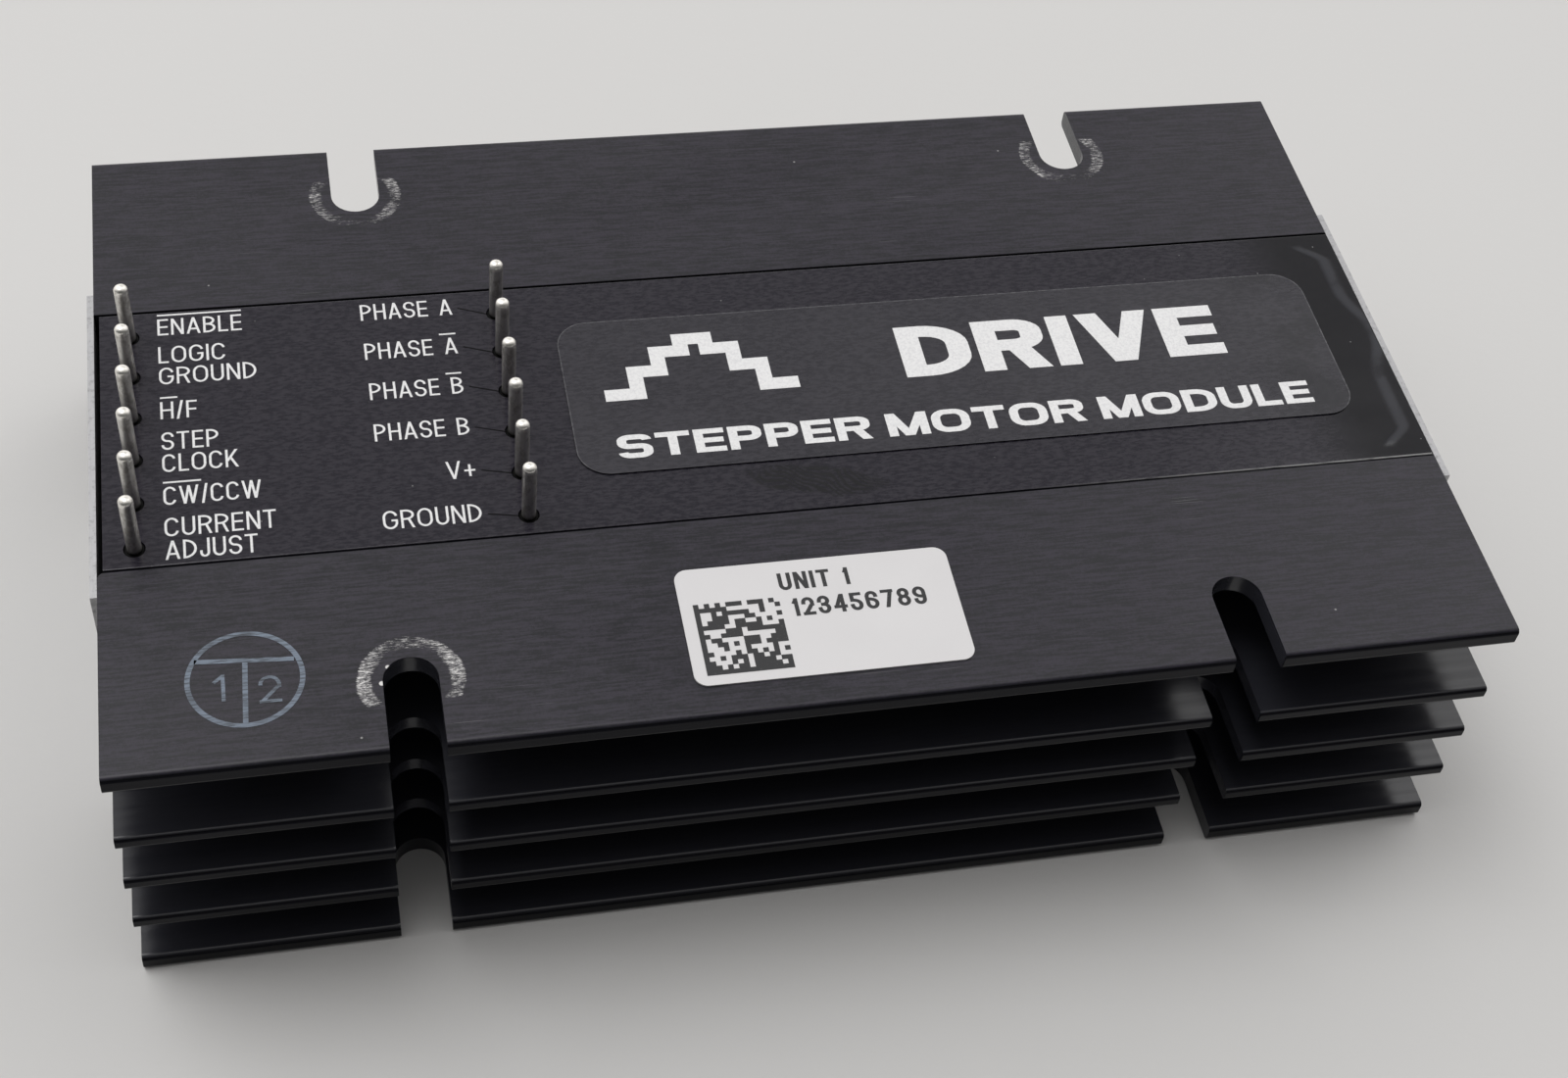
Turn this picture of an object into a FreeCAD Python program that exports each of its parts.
import FreeCAD, Part
import os

# Stepper driver module: an extruded finned heat sink whose central channel holds the power
# electronics under a flush cover.  Twelve round terminal pins stand up through the cover.
#
# Frame: +X along the extrusion, +Y across the fins, +Z up.  The origin is the centre of the
# underside.  All dimensions are in millimetres.

os.makedirs("parts", exist_ok=True)
doc = FreeCAD.newDocument("StepperDriver")
V = FreeCAD.Vector
NEAR = 1e-6  # two lengths closer than this are the same

# ---------------------------------------------------------------------------- dimensions
sheet = doc.addObject("Spreadsheet::Sheet", "Dims")
DIMENSIONS = [
    # heat sink extrusion
    ("sink_length", 124.0),
    ("sink_width", 73.8),
    ("sink_height", 30.5),
    ("flange_thick", 2.0),
    ("fin_thick", 1.5),
    ("fin_low_z", 7.2),
    ("fin_pitch", 6.45),
    ("base_thick", 1.9),
    ("channel_width", 31.0),
    ("wall_thick", 2.7),
    ("floor_thick", 3.5),
    ("base_edge_radius", 0.5),
    ("fin_edge_radius", 0.42),
    ("flange_edge_radius", 0.5),
    ("mouth_radius", 0.8),
    ("bend_radius", 0.8),
    # how far a cutting tool reaches past the faces it cuts
    ("reach", 1.0),
    # open mounting slots
    ("slot_width", 4.7),
    ("slot_depth", 9.3),
    ("slot_spacing", 73.8),
    ("slot_offset", 0.2),
    # cover sliding in the channel's upper grooves
    ("cover_clear", 0.1),
    ("cover_tongue", 1.1),
    ("cover_tongue_thick", 1.2),
    ("cover_tongue_top", 28.2),
    ("cover_edge_radius", 0.2),
    ("cover_start", 0.5),
    ("cover_end", 0.1),
    ("groove_clear", 0.1),
    # end plates
    ("end_plate_thick", 0.6),
    ("end_plate_corner", 1.2),
    # circuit board in the channel's lower grooves
    ("board_thick", 1.6),
    ("board_top", 24.0),
    ("board_tongue", 0.7),
    ("board_margin", 1.5),
    # terminal pins
    ("pin_pitch", 5.08),
    ("pin_radius", 0.65),
    ("pin_shank_radius", 0.85),
    ("pin_shoulder_drop", 0.1),
    ("pin_collar_radius", 1.3),
    ("pin_collar_height", 0.8),
    ("pin_height", 6.8),
    ("pin_tail", 1.6),
    ("pin_hole_radius", 0.95),
    ("pin_board_clear", 0.15),
    ("pin_left_x", 3.17),
    ("pin_right_x", 37.28),
    ("pin_first_y", 12.2),
    # adhesive labels
    ("label_thick", 0.15),
    ("name_length", 76.0),
    ("name_width", 19.3),
    ("name_radius", 3.0),
    ("name_x", 18.5),
    ("name_y", 0.3),
    ("serial_length", 24.8),
    ("serial_width", 12.6),
    ("serial_radius", 1.2),
    ("serial_x", -0.7),
    ("serial_y", -27.5),
    # power transistors standing against the channel walls
    ("transistor_pitch", 18.0),
    ("transistor_first_x", -8.0),
    ("transistor_width", 10.0),
    ("transistor_body", 9.0),
    ("transistor_depth", 4.5),
    ("transistor_tab", 6.2),
    ("transistor_tab_thick", 1.3),
    ("transistor_tab_hole", 1.85),
    ("transistor_top", 19.9),
    ("lead_pitch", 2.54),
    ("lead_width", 0.8),
    ("lead_thick", 0.5),
    ("lead_inset", 1.9),
    ("lead_stub", 1.0),
    ("lead_clear", 0.1),
    ("pad_thick", 0.25),
    ("pad_side", 1.0),
    # spring clips spreading each pair of transistors against the walls
    ("clip_thick", 0.6),
    ("clip_width", 8.0),
    ("clip_height", 7.0),
    ("clip_lift", 11.5),
    ("clip_clear", 0.02),
    # bulk capacitors under the board
    ("cap_radius", 5.0),
    ("cap_height", 15.0),
    ("cap_first_x", -48.0),
    ("cap_spacing", 14.0),
    ("cap_seal", 1.0),
    ("cap_seal_radius", 4.3),
    # parts on the board's upper face
    ("chip_lead_height", 0.2),
    ("chip_lead_share", 0.4),
    ("chip_stand", 0.15),
    ("chip_cap_share", 0.2),
    ("chip_cap_step", 0.04),
]
for row, (alias, value) in enumerate(DIMENSIONS, start=1):
    sheet.set(f"A{row}", alias)
    sheet.set(f"B{row}", f"{value}")
    sheet.setAlias(f"B{row}", alias)
doc.recompute()


def dim(text):
    """Turn every {alias} in an expression into a spreadsheet reference."""
    return text.replace("{", "Dims.").replace("}", "")


def value(text):
    """Number that an expression of the same kind stands for."""
    names = dict(DIMENSIONS)
    total = text
    for alias in sorted(names, key=len, reverse=True):
        total = total.replace("{" + alias + "}", repr(names[alias]))
    return float(FreeCAD.Units.Quantity(total).Value)


def bind(obj, **expressions):
    for name, text in expressions.items():
        obj.setExpression(name, dim(text))


def place(obj, x, y, z):
    """Bind an object's position to the spreadsheet."""
    for axis, text in zip("xyz", (x, y, z)):
        obj.setExpression(f"Placement.Base.{axis}", dim(text))
    return obj


def box(name, x, y, z, dx, dy, dz):
    """Box from its low corner and its three sizes."""
    solid = doc.addObject("Part::Box", name)
    bind(solid, Length=dx, Width=dy, Height=dz)
    return place(solid, x, y, z)


def post(name, x, y, z, radius, height):
    """Upright cylinder standing on (x, y, z)."""
    solid = doc.addObject("Part::Cylinder", name)
    bind(solid, Radius=radius, Height=height)
    return place(solid, x, y, z)


def fuse(name, solids):
    joined = doc.addObject("Part::MultiFuse", name)
    joined.Shapes = solids
    joined.Refine = True
    return joined


def cut(name, base, tools):
    taken = doc.addObject("Part::Cut", name)
    taken.Base = base
    taken.Tool = tools[0] if len(tools) == 1 else fuse(name + "Tools", tools)
    taken.Refine = True
    return taken


def compound(name, solids):
    group = doc.addObject("Part::Compound", name)
    group.Links = solids
    return group


def round_edges(name, base, radius, wanted):
    """Fillet the edges of base for which wanted(edge) holds."""
    doc.recompute()
    size = value("{" + radius + "}")
    chosen = [i for i, edge in enumerate(base.Shape.Edges, start=1) if wanted(edge)]
    if not chosen:
        raise RuntimeError(f"{name}: no edge to round")
    rounded = doc.addObject("Part::Fillet", name)
    rounded.Base = base
    rounded.Edges = [(i, size, size) for i in chosen]
    doc.recompute()
    return rounded


def along(edge, axis):
    """True for a straight edge parallel to the named axis."""
    if not isinstance(edge.Curve, Part.Line):
        return False
    return abs(abs(getattr(edge.Curve.Direction, axis)) - 1) < NEAR


nodes = {}


def node(name, obj):
    """Register a finished piece under its human name."""
    obj.Label = name
    nodes[name] = obj
    return obj


# ---------------------------------------------------------------------------- heat sink
HALF_L = "{sink_length} / 2"
HALF_W = "{sink_width} / 2"
CHANNEL = "{channel_width} / 2"
WALL_OUT = "({channel_width} / 2 + {wall_thick})"
FIN_DEPTH = "({sink_width} / 2 - {channel_width} / 2)"

profile = [
    box("Base", "-" + HALF_L, "-" + HALF_W, "0", "{sink_length}", "{sink_width}", "{base_thick}"),
    box("Floor", "-" + HALF_L, "-" + WALL_OUT, "0", "{sink_length}", "2 * " + WALL_OUT, "{floor_thick}"),
]
FIN_LEVELS = [(f"{{fin_low_z}} + {i} * {{fin_pitch}}", "{fin_thick}") for i in range(3)]
FLANGE_LEVEL = ("{sink_height} - {flange_thick}", "{flange_thick}")
for side, wall_y, fin_y in (
    ("Front", "-" + WALL_OUT, "-" + HALF_W),
    ("Rear", CHANNEL, CHANNEL),
):
    profile.append(
        box(side + "Wall", "-" + HALF_L, wall_y, "0", "{sink_length}", "{wall_thick}", "{sink_height}")
    )
    for i, (low, thick) in enumerate(FIN_LEVELS + [FLANGE_LEVEL]):
        profile.append(
            box(f"{side}Fin{i}", "-" + HALF_L, fin_y, low, "{sink_length}", FIN_DEPTH, thick)
        )
extrusion = fuse("Extrusion", profile)


def tip_between(low, high):
    """Test for the long edges at the fins' tips between two heights."""
    floor, roof = value(low) - NEAR, value(high) + NEAR

    def wanted(edge):
        centre = edge.CenterOfMass
        at_tip = along(edge, "x") and abs(abs(centre.y) - value(HALF_W)) < NEAR
        return at_tip and floor < centre.z < roof

    return wanted


def channel_mouth(edge):
    """Upright corner of the channel at its left end, on the front side."""
    centre = edge.CenterOfMass
    at_end = abs(centre.x + value(HALF_L)) < NEAR
    return along(edge, "z") and at_end and abs(centre.y + value(CHANNEL)) < NEAR


tips = extrusion
for title, radius, low, high in (
    ("RoundedBase", "base_edge_radius", "0", "{base_thick}"),
    ("RoundedFins", "fin_edge_radius", "{fin_low_z}", FIN_LEVELS[-1][0] + " + {fin_thick}"),
    ("RoundedFlanges", "flange_edge_radius", FLANGE_LEVEL[0], "{sink_height}"),
):
    tips = round_edges(title, tips, radius, tip_between(low, high))
eased = round_edges("EasedMouth", tips, "mouth_radius", channel_mouth)

cutters = []
THROUGH = "{sink_height} + 2 * {reach}"
SLOT_R = "{slot_width} / 2"
SLOT_Y = "({sink_width} / 2 - {slot_depth} + {slot_width} / 2)"
for column, sign_x in (("Left", "-"), ("Right", "")):
    slot_x = f"{{slot_offset}} + {sign_x}{{slot_spacing}} / 2"
    for side, centre_y, low_y in (
        ("Front", "-" + SLOT_Y, "-({sink_width} / 2 + {reach})"),
        ("Rear", SLOT_Y, SLOT_Y),
    ):
        name = f"{side}{column}Slot"
        cutters.append(post(name + "End", slot_x, centre_y, "-{reach}", SLOT_R, THROUGH))
        cutters.append(
            box(
                name + "Mouth",
                f"{slot_x} - {SLOT_R}",
                low_y,
                "-{reach}",
                "{slot_width}",
                "{slot_depth} - {slot_width} / 2 + {reach}",
                THROUGH,
            )
        )
COVER_GROOVE = "({channel_width} / 2 + {cover_tongue} + {groove_clear})"
BOARD_GROOVE = "({channel_width} / 2 + {board_tongue} + {groove_clear})"
cutters.append(
    box(
        "CoverGroove",
        "-" + HALF_L,
        "-" + COVER_GROOVE,
        "{cover_tongue_top} - {cover_tongue_thick} - {groove_clear}",
        "{sink_length}",
        "2 * " + COVER_GROOVE,
        "{cover_tongue_thick} + 2 * {groove_clear}",
    )
)
cutters.append(
    box(
        "BoardGroove",
        "-" + HALF_L,
        "-" + BOARD_GROOVE,
        "{board_top} - {board_thick} - {groove_clear}",
        "{sink_length}",
        "2 * " + BOARD_GROOVE,
        "{board_thick} + 2 * {groove_clear}",
    )
)
node("heat_sink", cut("HeatSink", eased, cutters))

# ---------------------------------------------------------------------------- cover
COVER_X = "-" + HALF_L + " + {cover_start}"
COVER_L = "{sink_length} - {cover_start} - {cover_end}"
COVER_HALF = "({channel_width} / 2 - {cover_clear})"
TONGUE_HALF = "({channel_width} / 2 + {cover_tongue})"
cover_blank = fuse(
    "CoverBlank",
    [
        box(
            "CoverFace",
            COVER_X,
            "-" + COVER_HALF,
            "{cover_tongue_top} - {cover_tongue_thick}",
            COVER_L,
            "2 * " + COVER_HALF,
            "{sink_height} - {cover_tongue_top} + {cover_tongue_thick}",
        ),
        box(
            "CoverTongue",
            COVER_X,
            "-" + TONGUE_HALF,
            "{cover_tongue_top} - {cover_tongue_thick}",
            COVER_L,
            "2 * " + TONGUE_HALF,
            "{cover_tongue_thick}",
        ),
    ],
)

PINS = []
for column, pin_x, names in (
    ("left", "{pin_left_x}", ("enable", "logic_common", "half_step", "step_clock", "direction", "current_set")),
    ("right", "{pin_right_x}", ("coil_a_plus", "coil_a_minus", "coil_b_minus", "coil_b_plus", "supply", "ground")),
):
    for i, name in enumerate(names):
        PINS.append((name + "_pin", f"-{HALF_L} + {pin_x}", f"{{pin_first_y}} - {i} * {{pin_pitch}}"))

COVER_LOW = "({cover_tongue_top} - {cover_tongue_thick})"
cover_holes = [
    post(
        f"CoverHole{i}",
        x,
        y,
        COVER_LOW + " - {reach}",
        "{pin_hole_radius}",
        "{sink_height} - " + COVER_LOW + " + 2 * {reach}",
    )
    for i, (name, x, y) in enumerate(PINS)
]


def cover_rim(edge):
    return along(edge, "x") and abs(edge.CenterOfMass.z - value("{sink_height}")) < NEAR


cover_eased = round_edges("CoverEased", cover_blank, "cover_edge_radius", cover_rim)
node("cover", cut("Cover", cover_eased, cover_holes))

# ---------------------------------------------------------------------------- end plates
for name, low_x in (
    ("left_end_plate", "-" + HALF_L + " - {end_plate_thick}"),
    ("right_end_plate", HALF_L),
):
    plate = box(
        name.title().replace("_", "") + "Blank",
        low_x,
        "-" + WALL_OUT,
        "0",
        "{end_plate_thick}",
        "2 * " + WALL_OUT,
        "{sink_height}",
    )

    def low_corner(edge):
        return along(edge, "x") and edge.CenterOfMass.z < value("{end_plate_corner}")

    node(name, round_edges(name.title().replace("_", ""), plate, "end_plate_corner", low_corner))

# ---------------------------------------------------------------------------- circuit board
BOARD_X = "-" + HALF_L + " + {board_margin}"
BOARD_HALF = "({channel_width} / 2 + {board_tongue})"
BOARD_LOW = "{board_top} - {board_thick}"
board_blank = box(
    "BoardBlank",
    BOARD_X,
    "-" + BOARD_HALF,
    BOARD_LOW,
    "{sink_length} - 2 * {board_margin}",
    "2 * " + BOARD_HALF,
    "{board_thick}",
)
board_holes = [
    post(
        f"BoardHole{i}",
        x,
        y,
        BOARD_LOW + " - {reach}",
        "{pin_shank_radius} + {pin_board_clear}",
        "{board_thick} + 2 * {reach}",
    )
    for i, (name, x, y) in enumerate(PINS)
]
TRANSISTOR_X = [f"({{transistor_first_x}} + {i} * {{transistor_pitch}})" for i in range(4)]
LEAD_Y = "({channel_width} / 2 - {pad_thick} - {lead_inset})"
for i, x in enumerate(TRANSISTOR_X):
    for side, low_y in (
        ("Front", "-" + LEAD_Y + " - {lead_thick} / 2 - {lead_clear}"),
        ("Rear", LEAD_Y + " - {lead_thick} / 2 - {lead_clear}"),
    ):
        for j in (-1, 0, 1):
            board_holes.append(
                box(
                    f"LeadHole{side}{i}_{j + 1}",
                    f"{x} + {j} * {{lead_pitch}} - {{lead_width}} / 2 - {{lead_clear}}",
                    low_y,
                    BOARD_LOW + " - {reach}",
                    "{lead_width} + 2 * {lead_clear}",
                    "{lead_thick} + 2 * {lead_clear}",
                    "{board_thick} + 2 * {reach}",
                )
            )
node("circuit_board", cut("CircuitBoard", board_blank, board_holes))

# ---------------------------------------------------------------------------- terminal pins
for i, (name, x, y) in enumerate(PINS):
    tail_low = "(" + BOARD_LOW + " - {pin_tail})"
    shoulder = "({sink_height} - {pin_shoulder_drop})"
    tip = doc.addObject("Part::Sphere", f"PinTip{i}")
    bind(tip, Radius="{pin_radius}")
    place(tip, x, y, "{sink_height} + {pin_height} - {pin_radius}")
    node(
        name,
        fuse(
            f"Pin{i}",
            [
                post(f"PinShank{i}", x, y, tail_low, "{pin_shank_radius}", f"{shoulder} - {tail_low}"),
                post(f"PinCollar{i}", x, y, "{board_top}", "{pin_collar_radius}", "{pin_collar_height}"),
                post(
                    f"PinPost{i}",
                    x,
                    y,
                    shoulder,
                    "{pin_radius}",
                    "{pin_shoulder_drop} + {pin_height} - {pin_radius}",
                ),
                tip,
            ],
        ),
    )


# ---------------------------------------------------------------------------- labels
def label(name, length, width, radius, x, y):
    """Thin rectangle with rounded corners lying on the top face."""
    blank = box(
        name.title().replace("_", "") + "Blank",
        f"{x} - {length} / 2",
        f"{y} - {width} / 2",
        "{sink_height}",
        length,
        width,
        "{label_thick}",
    )

    def corner(edge):
        return along(edge, "z")

    return node(name, round_edges(name.title().replace("_", ""), blank, radius, corner))


label("name_label", "{name_length}", "{name_width}", "name_radius", "{name_x}", "{name_y}")
label("serial_label", "{serial_length}", "{serial_width}", "serial_radius", "{serial_x}", "{serial_y}")

# ---------------------------------------------------------------------------- power transistors
TAB_LOW = "({transistor_top} - {transistor_body} - {transistor_tab})"
PAD_FACE = "({channel_width} / 2 - {pad_thick})"
for side, phase in (("Front", "a"), ("Rear", "b")):
    front = side == "Front"
    if front:
        body_y = f"-{PAD_FACE}"
        tab_y = f"-{PAD_FACE}"
        lead_y = f"-{LEAD_Y} - {{lead_thick}} / 2"
        pad_y = f"-{CHANNEL}"
    else:
        body_y = f"{PAD_FACE} - {{transistor_depth}}"
        tab_y = f"{PAD_FACE} - {{transistor_tab_thick}}"
        lead_y = f"{LEAD_Y} - {{lead_thick}} / 2"
        pad_y = PAD_FACE
    for i, x in enumerate(TRANSISTOR_X):
        key = f"{side}{i}"
        body = box(
            "TransistorBody" + key,
            f"{x} - {{transistor_width}} / 2",
            body_y,
            "{transistor_top} - {transistor_body}",
            "{transistor_width}",
            "{transistor_depth}",
            "{transistor_body}",
        )
        tab = box(
            "TransistorTab" + key,
            f"{x} - {{transistor_width}} / 2",
            tab_y,
            TAB_LOW,
            "{transistor_width}",
            "{transistor_tab_thick}",
            "{transistor_tab} + {reach}",
        )
        leads = [
            box(
                f"TransistorLead{key}_{j + 1}",
                f"{x} + {j} * {{lead_pitch}} - {{lead_width}} / 2",
                lead_y,
                "{transistor_top} - {reach}",
                "{lead_width}",
                "{lead_thick}",
                "{board_top} + {lead_stub} - {transistor_top} + {reach}",
            )
            for j in (-1, 0, 1)
        ]
        hole = doc.addObject("Part::Cylinder", "TransistorHole" + key)
        bind(hole, Radius="{transistor_tab_hole}", Height="{channel_width}")
        hole.Placement = FreeCAD.Placement(V(), FreeCAD.Rotation(V(1, 0, 0), 90))
        place(hole, x, "0" if front else "{channel_width}", TAB_LOW + " + {transistor_tab} / 2")
        whole = fuse("TransistorBlank" + key, [body, tab] + leads)
        node(f"power_transistor_{phase}{i + 1}", cut("Transistor" + key, whole, [hole]))
    pad_x = f"{TRANSISTOR_X[0]} - {{transistor_width}} / 2 - {{pad_side}}"
    node(
        f"insulating_strip_{side.lower()}",
        box(
            "InsulatingStrip" + side,
            pad_x,
            pad_y,
            TAB_LOW,
            "3 * {transistor_pitch} + {transistor_width} + 2 * {pad_side}",
            "{pad_thick}",
            "{transistor_body} + {transistor_tab}",
        ),
    )

# Spring clips: a channel of spring strip between each opposed pair of transistors.
CLIP_HALF = "({channel_width} / 2 - {pad_thick} - {transistor_depth} - {clip_clear})"
clips = []
for i, x in enumerate(TRANSISTOR_X):
    outer = box(
        f"ClipOuter{i}",
        f"{x} - {{clip_width}} / 2",
        "-" + CLIP_HALF,
        "{clip_lift}",
        "{clip_width}",
        "2 * " + CLIP_HALF,
        "{clip_height}",
    )

    def bend(edge):
        low = abs(edge.CenterOfMass.z - value("{clip_lift}")) < NEAR
        return along(edge, "x") and low

    bent = round_edges(f"ClipBend{i}", outer, "bend_radius", bend)
    inner = box(
        f"ClipInner{i}",
        f"{x} - {{clip_width}} / 2 - {{reach}}",
        f"-({CLIP_HALF} - {{clip_thick}})",
        "{clip_lift} + {clip_thick}",
        "{clip_width} + 2 * {reach}",
        f"2 * ({CLIP_HALF} - {{clip_thick}})",
        "{clip_height}",
    )
    clips.append(cut(f"Clip{i}", bent, [inner]))
node("transistor_clips", compound("TransistorClips", clips))

# ---------------------------------------------------------------------------- bulk capacitors
for i in range(2):
    x = f"({{cap_first_x}} + {i} * {{cap_spacing}})"
    can_top = BOARD_LOW + " - {cap_seal}"
    can = post(f"CapCan{i}", x, "0", can_top + " - {cap_height}", "{cap_radius}", "{cap_height}")

    def can_rim(edge):
        low = edge.CenterOfMass.z < value(can_top) - value("{cap_height}") / 2
        return isinstance(edge.Curve, Part.Circle) and low

    rounded = round_edges(f"CapRound{i}", can, "bend_radius", can_rim)
    seal = post(f"CapSeal{i}", x, "0", can_top, "{cap_seal_radius}", "{cap_seal}")
    node(f"bulk_capacitor_{i + 1}", fuse(f"Capacitor{i}", [rounded, seal]))


# ---------------------------------------------------------------------------- parts on the board
def leaded_chip(x, y, length, width, height, per_side, pitch, span):
    """Moulded chip with a row of flat gull leads on its front and rear sides."""
    key = f"Chip{len(doc.Objects)}"
    body = box(
        key + "Body",
        f"{x} - {length} / 2",
        f"{y} - {width} / 2",
        "{board_top} + {chip_stand}",
        f"{length}",
        f"{width}",
        f"{height} - {{chip_stand}}",
    )
    first = -(per_side - 1) / 2
    leads = [
        box(
            f"{key}Lead{j}",
            f"{x} + {(first + j) * pitch} - {pitch} * {{chip_lead_share}} / 2",
            f"{y} - {span} / 2",
            "{board_top}",
            f"{pitch} * {{chip_lead_share}}",
            f"{span}",
            "{chip_lead_height}",
        )
        for j in range(per_side)
    ]
    return fuse(key, [body] + leads)


def end_capped_chip(x, y, length, width, height):
    """Rectangular two-terminal chip with slightly proud end caps."""
    key = f"Chip{len(doc.Objects)}"
    body = box(
        key + "Body",
        f"{x} - {length} / 2",
        f"{y} - {width} / 2 + {{chip_cap_step}}",
        "{board_top} + {chip_cap_step}",
        f"{length}",
        f"{width} - 2 * {{chip_cap_step}}",
        f"{height} - 2 * {{chip_cap_step}}",
    )
    cap = f"{length} * {{chip_cap_share}}"
    ends = [
        box(f"{key}End{j}", low, f"{y} - {width} / 2", "{board_top}", cap, f"{width}", f"{height}")
        for j, low in enumerate((f"{x} - {length} / 2", f"{x} + {length} / 2 - {cap}"))
    ]
    return fuse(key, [body] + ends)


# name, centre x, centre y, length, width, height, leads per side, lead pitch, span over leads
LEADED = [
    ("controller_chip", -10.0, 0.0, 12.8, 7.5, 2.4, 10, 1.27, 10.3),
    ("gate_driver_1", 8.0, -6.0, 4.9, 3.9, 1.7, 4, 1.27, 6.0),
    ("gate_driver_2", 8.0, 6.0, 4.9, 3.9, 1.7, 4, 1.27, 6.0),
    ("gate_driver_3", 30.0, -6.0, 4.9, 3.9, 1.7, 4, 1.27, 6.0),
    ("gate_driver_4", 30.0, 6.0, 4.9, 3.9, 1.7, 4, 1.27, 6.0),
    ("voltage_regulator", -36.0, 10.0, 6.5, 3.5, 1.7, 3, 2.3, 7.0),
    ("optocoupler_1", -50.0, 7.5, 4.6, 4.4, 2.1, 2, 2.54, 7.0),
    ("optocoupler_2", -50.0, 0.0, 4.6, 4.4, 2.1, 2, 2.54, 7.0),
    ("optocoupler_3", -50.0, -7.5, 4.6, 4.4, 2.1, 2, 2.54, 7.0),
]
for name, *size in LEADED:
    node(name, leaded_chip(*size))

# name, length, width, height, centres
CAPPED = [
    ("sense_resistor_a", 6.4, 3.2, 0.7, [(54.0, -5.0)]),
    ("sense_resistor_b", 6.4, 3.2, 0.7, [(54.0, 5.0)]),
    (
        "bootstrap_diodes",
        4.3,
        2.6,
        2.0,
        [(x, y) for x in (16.0, 38.0) for y in (-6.0, 6.0)],
    ),
    (
        "ceramic_capacitors",
        2.0,
        1.25,
        0.9,
        [(x, y) for x in (-42.0, -36.0, -30.0) for y in (-9.0, -3.0, 3.0)]
        + [(x, 0.0) for x in (2.0, 22.0, 44.0)],
    ),
    (
        "chip_resistors",
        2.0,
        1.25,
        0.6,
        [(x, y) for x in (-42.0, -36.0, -30.0) for y in (-6.0, 0.0)]
        + [(x, y) for x in (-19.0, 2.0, 22.0) for y in (-9.0, 9.0)],
    ),
]
for name, length, width, height, centres in CAPPED:
    chips = [end_capped_chip(x, y, length, width, height) for x, y in centres]
    node(name, chips[0] if len(chips) == 1 else compound(name.title().replace("_", ""), chips))

# ---------------------------------------------------------------------------- export
doc.recompute()
for obj in doc.Objects:
    if "Invalid" in obj.State or "Error" in obj.State:
        raise RuntimeError(f"{obj.Name}: {obj.State}")
for name, obj in nodes.items():
    if obj.Shape.isNull() or not obj.Shape.isValid() or not obj.Shape.Solids:
        raise RuntimeError(f"{name}: bad shape")
    obj.Shape.exportStep(f"parts/{name}.step")
print(f"{len(nodes)} nodes written")
